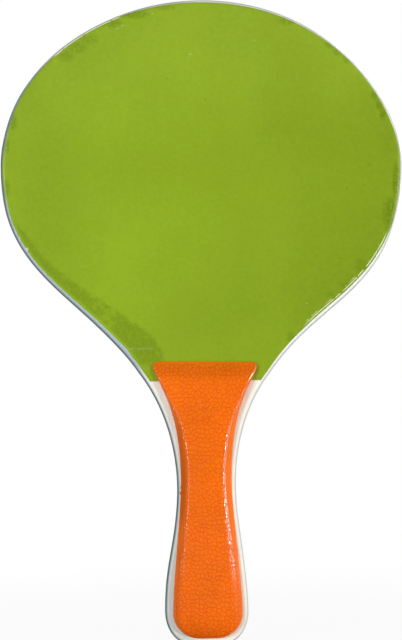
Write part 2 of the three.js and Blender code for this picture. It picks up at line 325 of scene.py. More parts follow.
def lacquer():
    look = boardLook
    material, tree, shader = startMaterial("white_lacquer")
    coords = objectCoords(tree)
    grain, grimeAndShade, ripple = look["fibres"], look["grimeAndShade"], look["ripple"]
    fibres = noiseOf(tree, stretched(tree, coords, (1, 1, grain["lengthwise"])), *grain["noise"])
    streaks = product(tree, remap(tree, fibres, *grain["shown"]), grain["share"])
    colour = tint(tree, streaks, look["paint"], grain["colour"])
    cloud = noiseOf(tree, coords, *grimeAndShade["noise"])
    worn = product(tree, remap(tree, cloud, *grimeAndShade["shown"]), grimeAndShade["share"])
    colour = tint(tree, worn, colour, grimeAndShade["colour"])
    colour = paintedEdgeLightAndShade(tree, coords, colour)
    specks = remap(tree, noiseOf(tree, coords, *look["specks"]["noise"]), *look["specks"]["shown"])
    colour = tint(tree, specks, colour, grain["colour"])
    rough = remap(tree, cloud, *middling, look["roughness"])
    feedAll(tree, shader, {"Base Color": colour, "Roughness": rough,
                           "Specular IOR Level": look["specular"]})
    fine = addBump(tree, shader, fibres, grain["depth"], grain["strength"])
    waves = noiseOf(tree, coords, *ripple["noise"])
    addBump(tree, shader, waves, ripple["depth"], ripple["strength"], fine)
    return material


# Painted shade along the board's left side, and painted light and painted shade along its right side
def paintedEdgeLightAndShade(tree, coords, colour):
    look = boardLook
    x, y, z = placeOf(tree, coords)
    depth = calc(tree, "ABSOLUTE", y)
    # how much of the left painted shade the back keeps
    front = remap(tree, y, *look["frontSpan"], (look["shadeAtBack"], 1.0))
    leftSide = remap(tree, x, *look["sideSpan"])
    rightSide = calc(tree, "SUBTRACT", 1.0, leftSide)
    shadedMargin, flank, litRightFlank = look["leftMarginShade"], look["leftFlankShade"], look["rightFlankLight"]
    # painted shade: duller paint on the handle's left margin
    shown = product(tree, leftSide, remap(tree, z, *shadedMargin["below"]))
    colour = tint(tree, shown, colour, shadedMargin["colour"])
    # painted shade: a blue-grey band on the left flank's edge, weaker at the back
    shown = product(tree, leftSide, bandOf(tree, z, flank["from"], flank["to"], flank["soft"]),
                    remap(tree, depth, *flank["depth"], (flank["onFace"], 1.0)), front)
    colour = tint(tree, shown, colour, flank["colour"])
    # painted light: whiter paint along the right flank
    band = bandOf(tree, z, litRightFlank["from"], litRightFlank["to"], litRightFlank["soft"])
    colour = tint(tree, product(tree, rightSide, band), colour, litRightFlank["colour"])
    rim, shadedRightRim = look["leftRimShade"], look["rightRimShade"]
    # painted shade: dark slate on the left rim, weaker at the back
    shifted = calc(tree, "SUBTRACT", depth, remap(tree, z, *rim["shiftSpan"], (0.0, rim["shift"])))
    shown = product(tree, leftSide, remap(tree, shifted, *rim["depth"]),
                    remap(tree, z, *rim["paleSpan"], (1.0, rim["paleShare"])), front)
    colour = tint(tree, shown, colour, rim["colour"])
    # painted shade: grey on the right rim's rounded edge
    shown = product(tree, rightSide, remap(tree, depth, *shadedRightRim["depth"]))
    return tint(tree, shown, colour, shadedRightRim["colour"])


def screwHoles(piece, low, high):
    radius = boardLook["holeRadius"] * mm
    upright = Matrix.Rotation(math.pi / 2, 4, "X")
    bm = bmesh.new()
    for height in screwHeights:
        middle = Matrix.Translation((0, (low + high) / 2 * mm, height * mm))
        bmesh.ops.create_cone(bm, cap_ends=True, segments=boardLook["holeSteps"], radius1=radius,
                              radius2=radius, depth=(high - low) * mm, matrix=middle @ upright)
    cutAway(piece, bm)


# How far the edge is drawn in by its rounding, at a distance y from the board's middle plane
def edgeDrawIn(y):
    radius = boardLook["edgeRound"]
    past = max(abs(y) - (facePlyHigh.y - radius), 0)
    return radius - math.sqrt(max(radius * radius - past * past, 0))


# How far the rounded edge has fallen below the board's face, at a distance from the rim
def edgeFall(inset):
    radius = boardLook["edgeRound"]
    past = max(radius - max(inset, 0), 0)
    return radius - math.sqrt(radius * radius - past * past)


# The depths at which a ply has a ring, each with how far its groove draws that ring in
def plyLevels(low, high):
    seam, steps = boardLook["seam"], boardLook["roundSteps"]
    levels = {low: seam, low + seam: 0, high - seam: 0, high: seam}
    for step in range(1, steps):
        levels[low + seam + (high - low - 2 * seam) * step / steps] = 0
    for share in boardLook["rimShares"]:
        if high > coreHigh.y:
            levels[high - seam * share] = 0
        if low < coreLow.y:
            levels[low + seam * share] = 0
    return sorted(levels.items())


def buildBoard(material):
    for name in boardPlies:
        low, high = sizesOf(name)
        bm = bmesh.new()
        rings = []
        for level, groove in plyLevels(low.y, high.y):
            outermost = abs(abs(level) - facePlyHigh.y) < tiny
            inset = edgeDrawIn(level) + (0 if outermost else groove)
            rings.append(ring(bm, drawnIn(boardOutline, lambda height: inset), level))
        for lower, upper in zip(rings, rings[1:]):
            bmesh.ops.bridge_loops(bm, edges=lower + upper)
        for end in (rings[0], rings[-1]):
            bmesh.ops.edgeloop_fill(bm, edges=end)
        for vert in bm.verts:
            vert.co.x += valueAt(boardLook["sway"], vert.co.z / mm) * mm
        piece = finishPiece(name, "painted", bm, material, boardLook["smoothAngle"])
        screwHoles(piece, low.y - overrun, high.y + overrun)


# Green printed film
filmLook = {
    # how far the film's edge lies inside the board's, by height
    "leftInset": [(296, 1.5), (285, 0.9), (262, 1.1), (228, 1.4), (212, 1.6), (196, 1.0), (184, 1.3),
                  (172, 2.1), (142, 2.5), (110, 2.7), (92, 3.0), (85, 3.5), (80, 2.9), (60, 2.6)],
    "rightInset": [(296, 1.5), (285, 1.3), (262, 0.9), (240, 1.1), (222, 1.4), (206, 0.9), (196, 0.7),
                   (160, 0.8), (150, 1.4), (140, 1.9), (120, 2.3), (105, 2.5), (96, 2.2), (60, 1.9)],
    "edgeSpacing": 0.4,         # mm between the points of its edge
    "rows": 170, "columns": 56,
    "rimCrowding": 2.2,         # draws the columns together towards the rim
    "green": rgba(0.275, 0.415, 0.014),
    "crownSheenGreen": rgba(0.285, 0.422, 0.021),    # painted sheen: the print is a little paler towards the crown
    "sheenSpan": (190, 280),
    "cloud": {"noise": (14, 3.0), "shown": (0.25, 0.75), "tones": (0.93, 1.06)},
    "fleck": {"noise": (420, 3.0, 0.6), "shown": (0.2, 0.8), "tones": (0.95, 1.05),
              "depth": 0.03, "strength": 0.5},
    "breakup": (120, 4.0, 0.65), "speckle": (620, 4.0, 0.75),    # noises that fray the wear
    # painted shade: the print is darker at the right, and at the upper left
    "paintedShades": [{"x": (-50, 110), "z": (270, 200), "share": 0.14},
              {"x": (-40, -110), "z": (100, 150), "share": 0.09}],
    "roughness": (0.28, 0.36), "specular": 0.22,
    "smudge": rgba(0.155, 0.25, 0.004),
    "frontSpan": (1, -1),       # the wear sets in over this stretch of y, from the back
    "wearAtBack": 0.5,          # share of the rubs and specks that the back film shows
    # a rubbed strip on the left flank, its width by height, with a frayed and spotted inner edge
    "flankWear": {"top": 160, "bottom": 80, "widest": 92, "soft": 4, "topWidth": 4.6,
                  "bottomWidth": 17, "curve": 1.7, "inwards": (-20, -27), "rim": (0.7, 2.2),
                  "fray": (10.0, 11.0), "edge": (-1.0, 0.8),
                  "spotsShown": (0.36, 0.56), "spots": (0.3, 0.66),
                  "patchesShown": (0.36, 0.5), "patches": (0.35, 1.0)},
    "rubsShown": (0.4, 0.52),
    # rubbed places: x and z, the reach along each, and the depth
    "rubs": [
        ((-80, 263), (6, 4.5), 0.5),
        ((-73, 268), (7, 4.5), 0.55),
        ((-66, 273), (7, 4), 0.45),
        ((-53, 282.5), (9, 3.5), 0.65),
        ((-38, 287.5), (10, 3), 0.65),
        ((-20, 291.5), (9, 2), 0.5),
        ((-112.5, 224), (3.5, 6), 0.75),
        ((-116.5, 210), (2.5, 6), 0.6),
        ((-117.5, 184), (3.5, 7), 0.6),
        ((53, 282.5), (8, 3), 0.5),
        ((79, 268.5), (5, 3.5), 0.6),
        ((84, 264), (5, 3.5), 0.6),
        ((88.5, 259.5), (4, 4), 0.5),
        ((105, 238), (3, 5), 0.7),
        ((107.5, 232), (3, 4.5), 0.8),
        ((109.5, 226), (2.6, 4.5), 0.8),
        ((117.5, 184), (3.5, 15), 1.0),
        ((113.5, 166), (6, 13), 0.85),
        ((95, 135), (4.5, 6), 0.5),
        ((85.5, 123.5), (5, 3), 0.45),
        ((77, 118), (3, 2.5), 0.45),
        ((52.5, 93), (3.5, 4.5), 0.5),
    ],
    # dark specks
    "specks": [(101.4, 195.6), (98.2, 183.6), (87.4, 181.8), (68.9, 141.6), (83.2, 139.8), (-20, 249),
               (3, 236)],
    "speckReach": (0.8, 0.7), "speckDepth": 0.6,
    # tiny pale scratches
    "nicks": [(-55.4, 280.2), (-49, 279.5), (-46, 281.2), (-28, 288), (-5.5, 263.4), (33, 271),
              (62.5, 113)],
    "nickReach": (1.3, 0.45), "nicksShown": (0.4, 0.6), "nickShare": 0.3,
    "chips": [((-110, 155), (1.1, 2.0)), ((-105, 147.3), (1.0, 1.6))],    # each with its reach
    "chip": rgba(0.85, 0.85, 0.78), "chipsShown": (0.4, 0.5),
    # pale creases beside the right flank's edge, broken into dashes
    "crease": rgba(0.88, 0.92, 0.62),
    "creaseNoise": (260, 2.0), "creaseStretch": 2,
    "creaseRun": {"inwards": (30, 40), "from": 104, "to": 150, "soft": 6},
    "creases": [
        {"edge": (0.95, 1.3), "soft": 0.12, "strength": 1.0, "gaps": (0.36, 0.44)},
        {"edge": (2.1, 2.3), "soft": 0.12, "strength": 0.7, "gaps": (0.5, 0.58)},
    ],
    "fold": {"height": 87, "width": 0.2, "from": -46, "to": -31, "soft": 2, "gaps": (0.35, 0.5),
             "share": 0.17},
    # print lost along the edge at the upper left
    "bareEdge": {"width": 0.9, "from": -85, "to": -50, "soft": 4, "above": (235, 240),
                 "gaps": (0.3, 0.42)},
}


def widthAt(points, height):
    for above, below in zip(points, points[1:]):
        if above.y >= height >= below.y:
            return blendOf(above.x, below.x, (above.y - height) / max(above.y - below.y, tiny))
    return points[-1].x


# A function that gives the distance from a place (x, z) to the nearest of the points
def nearestIn(points):
    tree = kdtree.KDTree(len(points))
    for index, spot in enumerate(points):
        tree.insert((spot.x, spot.y, 0), index)
    tree.balance()
    return lambda x, z: tree.find((x, z, 0))[2]


def bothSides(right, left):
    return right + [Vector((-p.x, p.y)) for p in left]


def buildFilm(name, material):
    look = filmLook
    low, high = sizesOf(name)
    inner, outer, side = (high.y, low.y, -1) if name.endswith("front") else (low.y, high.y, 1)
    boardEdge = smoothPath(boardKnots, look["edgeSpacing"])
    right = drawnIn(boardEdge, lambda z: valueAt(look["rightInset"], z))
    left = drawnIn(boardEdge, lambda z: valueAt(look["leftInset"], z))
    toFilmEdge = nearestIn(bothSides(right, left))
    toBoardEdge = nearestIn(bothSides(boardEdge, boardEdge))
    crown = right[0].y
    bm = bmesh.new()
    distance = bm.verts.layers.float.new("edgeDistance")
    bmesh.ops.create_grid(bm, x_segments=look["columns"], y_segments=look["rows"], size=1)
    firstRow = 1 / look["rows"]    # the top row lies this share down, where the film has a width
    for vert in bm.verts:
        down = (1 - vert.co.y) / 2 * (1 - firstRow) + firstRow
        z = crown - (crown - low.z) * (1 - math.cos(down * math.pi / 2))
        share = 1 - (1 - abs(vert.co.x)) ** look["rimCrowding"]
        x = share * widthAt(right, z) if vert.co.x > 0 else -share * widthAt(left, z)
        vert[distance] = toFilmEdge(x, z)
        y = inner - side * edgeFall(toBoardEdge(x, z))
        vert.co = ((x + valueAt(boardLook["sway"], z)) * mm, y * mm, z * mm)
    made = bmesh.ops.extrude_face_region(bm, geom=bm.faces[:])["geom"]
    bmesh.ops.translate(bm, verts=[v for v in made if isinstance(v, bmesh.types.BMVert)],
                        vec=(0, (outer - inner) * mm, 0))
    return finishPiece(name, "printed", bm, material)


def greenFilm():
    look = filmLook
    material, tree, shader = startMaterial("green_film")
    coords = objectCoords(tree)
    x, y, z = placeOf(tree, coords)
    edge = attributeOf(tree, "edgeDistance")
    front = remap(tree, y, *look["frontSpan"])
    fleck = noiseOf(tree, coords, *look["fleck"]["noise"])
    breakup = noiseOf(tree, coords, *look["breakup"])
    speckle = noiseOf(tree, coords, *look["speckle"])
    rubs = product(tree, filmRubs(tree, x, z, edge, breakup, speckle),
                   remap(tree, front, 0.0, 1.0, (look["wearAtBack"], 1.0)))
    colour = tint(tree, rubs, printWithPaintedLight(tree, coords, x, z, fleck), look["smudge"])
    creases = product(tree, filmCreases(tree, x, z, edge, coords), front)
    colour = tint(tree, creases, colour, look["crease"])
    ragged = remap(tree, breakup, *look["chipsShown"])
    chips = [product(tree, spotOf(tree, x, z, *chip), ragged) for chip in look["chips"]]
    colour = tint(tree, product(tree, calc(tree, "MAXIMUM", *chips), front), colour, look["chip"])
    scratched = remap(tree, speckle, *look["nicksShown"], (0.0, look["nickShare"]))
    for nick in look["nicks"]:
        pale = spotOf(tree, x, z, nick, look["nickReach"])
        colour = tint(tree, product(tree, pale, front, scratched), colour, look["crease"])
    rough = remap(tree, breakup, *middling, look["roughness"])
    feedAll(tree, shader, {"Base Color": colour, "Roughness": rough,
                           "Specular IOR Level": look["specular"]})
    addBump(tree, shader, fleck, look["fleck"]["depth"], look["fleck"]["strength"])
    return material


# The print without its wear: clouds and flecks, with painted sheen paler at the crown and painted shade
# darker at the sides
def printWithPaintedLight(tree, coords, x, z, fleck):
    look = filmLook
    cloud = noiseOf(tree, coords, *look["cloud"]["noise"])
    # painted sheen: paler green towards the crown
    colour = tint(tree, remap(tree, z, *look["sheenSpan"]), look["green"], look["crownSheenGreen"])
    for noise, part in ((cloud, look["cloud"]), (fleck, look["fleck"])):
        colour = toned(tree, colour, remap(tree, noise, *part["shown"], part["tones"]))
    # painted shade: darker at the right and at the upper left
    darker = [product(tree, remap(tree, x, *fade["x"]), remap(tree, z, *fade["z"]), fade["share"])
              for fade in look["paintedShades"]]
    return toned(tree, colour, calc(tree, "SUBTRACT", 1.0, calc(tree, "ADD", *darker)))


spotCore = 0.1    # an oval place is marked in full within this share of its reach, squared


# 1 at the middle of an oval place, 0 beyond its reach
def spotOf(tree, x, z, at, reach):
    sideways = calc(tree, "DIVIDE", calc(tree, "SUBTRACT", x, at[0]), reach[0])
    upwards = calc(tree, "DIVIDE", calc(tree, "SUBTRACT", z, at[1]), reach[1])
    return remap(tree, squareOf(tree, sideways, upwards), spotCore, 1.0, (1.0, 0.0))


# A noise turned into a shift, half of reach to either side at most
def shiftOf(tree, noise, reach):
    return product(tree, calc(tree, "SUBTRACT", noise, 0.5), reach)


# Where the film is rubbed dark: a strip that widens down the left flank, and scattered places
def filmRubs(tree, x, z, edge, breakup, speckle):
    look = filmLook
    wear = look["flankWear"]
    down = addNode(tree, "MapRange", {"Value": z, "From Min": wear["top"], "From Max": wear["widest"]})
    spread = calc(tree, "POWER", down.outputs[0], wear["curve"])
    wider = product(tree, spread, wear["bottomWidth"] - wear["topWidth"])
    width = calc(tree, "ADD", wear["topWidth"], wider)
    frayed = [shiftOf(tree, noise, reach) for noise, reach in zip((breakup, speckle), wear["fray"])]
    inwards = calc(tree, "ADD", edge, calc(tree, "ADD", *frayed))
    inside = remap(tree, calc(tree, "SUBTRACT", inwards, width), *wear["edge"], (1.0, 0.0))
    total = product(tree, inside, remap(tree, x, *wear["inwards"]), remap(tree, edge, *wear["rim"]),
                    bandOf(tree, z, wear["bottom"], wear["top"], wear["soft"]),
                    remap(tree, speckle, *wear["spotsShown"], wear["spots"]),
                    remap(tree, breakup, *wear["patchesShown"], wear["patches"]))
    for speck in look["specks"]:
        dark = spotOf(tree, x, z, speck, look["speckReach"])
        total = calc(tree, "MAXIMUM", total, product(tree, dark, look["speckDepth"]))
    for at, reach, depth in look["rubs"]:
        spotted = remap(tree, speckle, *look["rubsShown"], (0.0, depth))
        total = calc(tree, "MAXIMUM", total, product(tree, spotOf(tree, x, z, at, reach), spotted))
    return total


# Pale lines: the creases, one fold across the left flank, and the bare edge
def filmCreases(tree, x, z, edge, coords):
    look = filmLook
    along = stretched(tree, coords, (1, 1, look["creaseStretch"]))
    broken = noiseOf(tree, along, *look["creaseNoise"])
    run, fold, bare = look["creaseRun"], look["fold"], look["bareEdge"]
    flank = product(tree, remap(tree, x, *run["inwards"]),
                    bandOf(tree, z, run["from"], run["to"], run["soft"]))
    total = 0.0
    for crease in look["creases"]:
        line = bandOf(tree, edge, *crease["edge"], crease["soft"])
        dashes = remap(tree, broken, *crease["gaps"])
        total = calc(tree, "MAXIMUM", total, product(tree, line, flank, dashes, crease["strength"]))
    half = fold["width"] / 2
    line = product(tree, bandOf(tree, z, fold["height"] - half, fold["height"] + half, fold["width"]),
                   bandOf(tree, x, fold["from"], fold["to"], fold["soft"]),
                   remap(tree, broken, *fold["gaps"]), fold["share"])
    worn = product(tree, remap(tree, edge, bare["width"], bare["width"] / 2),
                   bandOf(tree, x, bare["from"], bare["to"], bare["soft"]),
                   remap(tree, z, *bare["above"]), remap(tree, broken, *bare["gaps"]))
    return calc(tree, "MAXIMUM", calc(tree, "MAXIMUM", total, line), worn)


# Orange grip
gripKnots = [
    {"at": (27.3, gripHigh.z), "heading": 0, "before": 0, "after": 3.6},
    {"at": (30.72, 73.28), "heading": 115.5, "before": 3.6, "after": 16.5},
    {"at": (15.2, 7), "heading": 90, "before": 38, "after": 17},
    {"at": (20.9, -72), "heading": 90, "before": 18, "after": 8},
    {"at": (5.5, gripLow.z), "heading": 180, "before": 9, "after": 0},
]
gripLook = {
    "rows": 240, "columns": 96,
    "outlineSpacing": 0.5, "smoothAngle": 60,
    "topThickness": 1.8, "topRound": 0.8,
    "lipSlope": 15.6, "lipLength": 7.2, "lipEase": 6.6,    # the rise below the top edge, in degrees
    "rampLength": 65,           # the grip swells to its full height over this length
    "crownRise": 0.8, "crownRiseAtTop": 0.4,    # of the crown over the creases
    "domeLength": 21, "domeDepth": 0.96,        # the butt ends in a dome
    "land": 0.8,                # upright foot of the flank
    # the flank's lean in degrees and the crease's rounding, at the waist and at the butt
    "waistDraft": 28.5, "buttDraft": 18, "waistCreaseRound": 1.5, "buttCreaseRound": 4.2,
    "waist": 3, "draftFade": 71,    # where the waist's values begin to change, and over how far
    "topLean": 0.35, "leanSpan": (38, 62),    # near the top the flanks lean by this share only
    # where the crown, the crease and the flank end, from the middle of a section (0) to its foot (1)
    "crownShare": 0.76, "creaseShare": 0.86, "flankShare": 0.97,
    "offset": 0.7,              # mounted a little off the board's middle, mm
    "topSkew": -0.013, "skewFrom": 60,    # the top edge runs level although the racket leans
    "nibs": [{"height": 3.6, "reach": 1.1, "out": 0.45}, {"height": 0.2, "reach": 1.6, "out": 0.7}],
    "nibShare": -0.95,          # the nibs stand on the left foot, below this share
    "marks": {"radius": 2.6, "inner": 0.95, "soft": 0.25, "depth": 0.2},    # over the screw bosses
    "orange": rgba(0.94, 0.173, 0.0005), "lowOrange": rgba(0.955, 0.173, 0.004),
    "lowSpan": (15, -30),
    "cloud": {"noise": (60, 3.0), "shown": (0.25, 0.75), "tones": (0.95, 1.05)},
    # leather grain: cells of this size, their crevices and the darker lines in them
    "grain": {"size": 2.6, "randomness": 0.95, "wander": 1.3, "wanderNoise": (330, 2.0),
              "depth": 0.3, "creviceWidth": 0.26, "lineWidth": 0.14, "lineShare": 0.74,
              "patchNoise": (170, 2.0), "patchShown": (0.36, 0.6), "patches": (0.75, 1.0),
              "strength": 0.46, "creaseStrength": 0.9, "lowStrength": 0.6},
    "crevice": rgba(0.8, 0.052, 0.0),
    "fineGrain": {"noise": (2500, 3.0, 0.6), "depth": 0.03, "strength": 0.5},
    # the grain ends on the flank, between two shares that change from the waist to the butt
    "grainEnds": ((0.8, 0.87), (0.87, 0.96)),
    "buttSpan": (20, 60),       # heights below zero over which the butt's shares set in
    "plainLip": (0.5, 1.5),     # and sets in over this stretch below the top edge
    "unrollShare": 0.6,         # how much a fall down the flank stretches the grain
    # painted shade: the steep lip below the top edge is darker, less so at the very edge
    "lipShade": {"colour": rgba(0.62, 0.13, 0.001), "crevice": rgba(0.36, 0.05, 0.0),
                 "span": (66.5, 73.5), "end": (77.4, 78.2), "atEnd": 0.1, "share": 0.48},
    # colour of the painted shade at the end and on the left flank
    "grimeAndShade": rgba(0.42, 0.05, 0.0),
    # painted shade at the butt's end, stronger on the left
    "endShade": {"below": (-78, -91), "x": (13, -12), "shares": (0.12, 0.5)},
    # painted shade on the left flank near the foot, fading above and below
    "flankShade": {"depth": (11.5, 7.5), "x": (0, -8), "share": 0.42, "above": (60, 30),
                   "below": (-25, -8)},
    "roughness": (0.35, 0.43), "specular": 0.13,
    # polish along the creases, whose reach is a share of the section at the waist and at the butt
    "shine": {"at": 0.805, "reach": (0.055, 0.045), "core": 1 / 3, "ends": (-62, -40),
              "left": 0.25, "roughness": 0.2},
    "polish": {"roughness": 0.1, "ior": 2.1, "span": (-60, 0), "shares": (0.5, 1.0)},
}


# What the steep rise below the top edge has gained at a distance from that edge
def lipRise(distance):
    look = gripLook
    easing = min(max(distance - look["lipLength"], 0), look["lipEase"])
    steep = min(distance, look["lipLength"] + look["lipEase"])
    return math.tan(math.radians(look["lipSlope"])) * (steep - easing * easing / (2 * look["lipEase"]))


# Height of the crown and of the crease over the grip's foot, the flank's lean and the crease's rounding
def gripHeights(z):
    look = gripLook
    fullHeight = gripHigh.y - gripLow.y
    ramp = smooth(gripHigh.z - z, 0, look["rampLength"])
    past = max(look["domeLength"] - (z - gripLow.z), 0) / look["domeLength"]
    dome = math.sqrt(1 - (past * look["domeDepth"]) ** 2)
    edge = max(z - (gripHigh.z - look["topRound"]), 0) / look["topRound"]
    afterLip = fullHeight - look["topThickness"] - lipRise(look["lipLength"] + look["lipEase"])
    crown = (look["topThickness"] + lipRise(gripHigh.z - z) + afterLip * ramp) * dome
    rise = blendOf(look["crownRiseAtTop"], look["crownRise"], ramp) * dome
    crown -= look["topRound"] * (1 - math.sqrt(1 - edge * edge))
    down = smooth(look["waist"] - z, 0, look["draftFade"])
    draft = math.radians(blendOf(look["waistDraft"], look["buttDraft"], down))
    lean = math.tan(draft) * blendOf(1, look["topLean"], smooth(z, *look["leanSpan"]))
    return crown, crown - rise, lean, blendOf(look["waistCreaseRound"], look["buttCreaseRound"], down)


# Place on a section across the grip: share runs from -1 at the left foot to 1 at the right foot
def gripPlace(half, z, share):
    look = gripLook
    crownEnd, creaseEnd, flankEnd = look["crownShare"], look["creaseShare"], look["flankShare"]
    crown, crease, lean, creaseRound = gripHeights(z)
    land = min(look["land"], crease / 2)
    creaseHalf = half - (crease - land) * lean
    rounding = min(creaseRound, (crease - land) / 2)

    def crownAt(x):
        return crown - (crown - crease) * (x / creaseHalf) ** 2

    corner = Vector((creaseHalf, crease))
    below = Vector((creaseHalf + rounding * lean, crease - rounding))
    beyond = Vector((creaseHalf - rounding, crownAt(creaseHalf - rounding)))
    away = abs(share)
    if away > flankEnd:
        spot = Vector((half, land * (1 - away) / (1 - flankEnd)))
    elif away > creaseEnd:
        spot = Vector((half, land)).lerp(below, (flankEnd - away) / (flankEnd - creaseEnd))
    elif away > crownEnd:
        part = (creaseEnd - away) / (creaseEnd - crownEnd)
        spot = below.lerp(corner, part).lerp(corner.lerp(beyond, part), part)
    else:
        x = beyond.x * away / crownEnd
        spot = Vector((x, crownAt(x)))
    return math.copysign(spot.x, share), spot.y


def pointAlong(path, lengths, share):
    wanted = share * lengths[-1]
    index = min(bisect.bisect_left(lengths, wanted), len(path) - 1)
    if index == 0:
        return path[0]
    part = (wanted - lengths[index - 1]) / max(lengths[index] - lengths[index - 1], tiny)
    return path[index - 1].lerp(path[index], part)


def buildGrip(name, side, material):
    look = gripLook
    path = smoothPath(gripKnots, look["outlineSpacing"])
    lengths = [0]
    for start, end in zip(path, path[1:]):
        lengths.append(lengths[-1] + (end - start).length)
    foot = gripLow.y if side > 0 else -gripLow.y
    bm = bmesh.new()
    layers = {key: bm.verts.layers.float.new(key) for key in ("grained", "shiny", "unrolled")}
    bmesh.ops.create_grid(bm, x_segments=look["columns"], y_segments=look["rows"], size=1)
    ends = {1: [], -1: []}
    for vert in bm.verts:
        share, along = vert.co.x, vert.co.y
        station = pointAlong(path, lengths, (1 - along) / 2)
        x, height = gripPlace(station.x, station.y, share)
        markFinish(vert, layers, share, station.y, x, height)
        if share < look["nibShare"] and side < 0:
            x -= sum(nib["out"] * (1 - smooth(abs(station.y - nib["height"]), 0, nib["reach"]))
                     for nib in look["nibs"])
        z = station.y + x * look["topSkew"] * smooth(station.y, look["skewFrom"], gripHigh.z)
        vert.co = ((x + look["offset"]) * mm, (foot + side * height) * mm, z * mm)
        if abs(abs(along) - 1) < tiny:
            ends[round(along)].append((share, vert))
    for row in ends.values():
        closeEnd(bm, [vert for share, vert in sorted(row, key=lambda pair: pair[0])])
    bmesh.ops.holes_fill(bm, edges=[edge for edge in bm.edges if edge.is_boundary], sides=0)
    return finishPiece(name, "moulded", bm, material, look["smoothAngle"])


# Gives a point what its plastic reads: its grain, its polish, and how far along the surface it lies
# from the middle
def markFinish(vert, layers, share, z, x, height):
    look, shine = gripLook, gripLook["shine"]
    butt = smooth(-z, *look["buttSpan"])
    plain = smooth(abs(share), *[blendOf(waist, low, butt) for waist, low in look["grainEnds"]])
    vert[layers["grained"]] = (1 - plain) * smooth(gripHigh.z - z, *look["plainLip"])
    reach = blendOf(*shine["reach"], butt)
    shiny = 1 - smooth(abs(abs(share) - shine["at"]), reach * shine["core"], reach)
    shiny *= smooth(z, *shine["ends"])
    vert[layers["shiny"]] = shiny * (shine["left"] if share < 0 else 1)
    down = max(gripHeights(z)[1] - height, 0)
    vert[layers["unrolled"]] = math.copysign(abs(x) + down * look["unrollShare"], share)


def closeEnd(bm, row):
    edges = [edge for edge in bm.edges if edge.is_boundary and all(v in row for v in edge.verts)]
    edges += bmesh.ops.contextual_create(bm, geom=[row[0], row[-1]])["edges"]
    bmesh.ops.edgeloop_fill(bm, edges=edges)


def orangePlastic():
    look = gripLook
    material, tree, shader = startMaterial("orange_plastic")
    coords = objectCoords(tree)
    place = placeOf(tree, coords)
    grained, shiny = attributeOf(tree, "grained"), attributeOf(tree, "shiny")
    grain, shine, polish = look["grain"], look["shine"], look["polish"]
    low = remap(tree, place[2], *look["lowSpan"])
    cells = leatherCells(tree, coords, place[2])
    crevice = product(tree, remap(tree, cells, 0.0, grain["creviceWidth"], (1.0, 0.0)), grained)
    patchy = remap(tree, noiseOf(tree, coords, *grain["patchNoise"]), *grain["patchShown"],
                   grain["patches"])
    line = product(tree, remap(tree, cells, 0.0, grain["lineWidth"], (1.0, 0.0)), grained, patchy)
    polished = product(tree, shiny, remap(tree, place[2], *polish["span"], polish["shares"]))
    rough = remap(tree, crevice, 0.0, 1.0, look["roughness"])
    gloss = addNode(tree, "Mix", {"Factor": shiny, "A": rough, "B": shine["roughness"]}).outputs[0]
    feedAll(tree, shader, {"Base Color": gripColour(tree, coords, place, low, line),
                           "Roughness": gloss, "Specular IOR Level": look["specular"],
                           "Coat Weight": polished, "Coat Roughness": polish["roughness"],
                           "Coat IOR": polish["ior"]})
    fine = look["fineGrain"]
    normal = addBump(tree, shader, noiseOf(tree, coords, *fine["noise"]), fine["depth"], fine["strength"])
    normal = addBump(tree, shader, sinkMarks(tree, place), look["marks"]["depth"], 1.0, normal)
    strength = calc(tree, "MAXIMUM",
                    remap(tree, shiny, 0.0, 1.0, (grain["strength"], grain["creaseStrength"])),
                    remap(tree, low, 0.0, 1.0, (grain["strength"], grain["lowStrength"])))
    raised = calc(tree, "SUBTRACT", 1.0, crevice)
    normal = addBump(tree, shader, raised, grain["depth"], strength, normal)
    tree.links.new(normal, shader.inputs["Coat Normal"])
    return material


# Leather grain: how far a point lies from the borders of wandering cells, on the unrolled surface
def leatherCells(tree, coords, z):
    grain = gripLook["grain"]
    wander = noiseOf(tree, coords, *grain["wanderNoise"], output="Color")
    shift = vectorOf(tree, "SUBTRACT", {0: wander, 1: (0.5, 0.5, 0.5)})
    shift = vectorOf(tree, "SCALE", {0: shift, "Scale": grain["wander"]})
    sheet = addNode(tree, "CombineXYZ", {0: attributeOf(tree, "unrolled"), 1: z}).outputs[0]
    moved = vectorOf(tree, "ADD", {0: sheet, 1: shift})
    inputs = {"Vector": moved, "Scale": 1 / grain["size"], "Randomness": grain["randomness"]}
    made = addNode(tree, "TexVoronoi", inputs, feature="DISTANCE_TO_EDGE", voronoi_dimensions="2D")
    return made.outputs["Distance"]


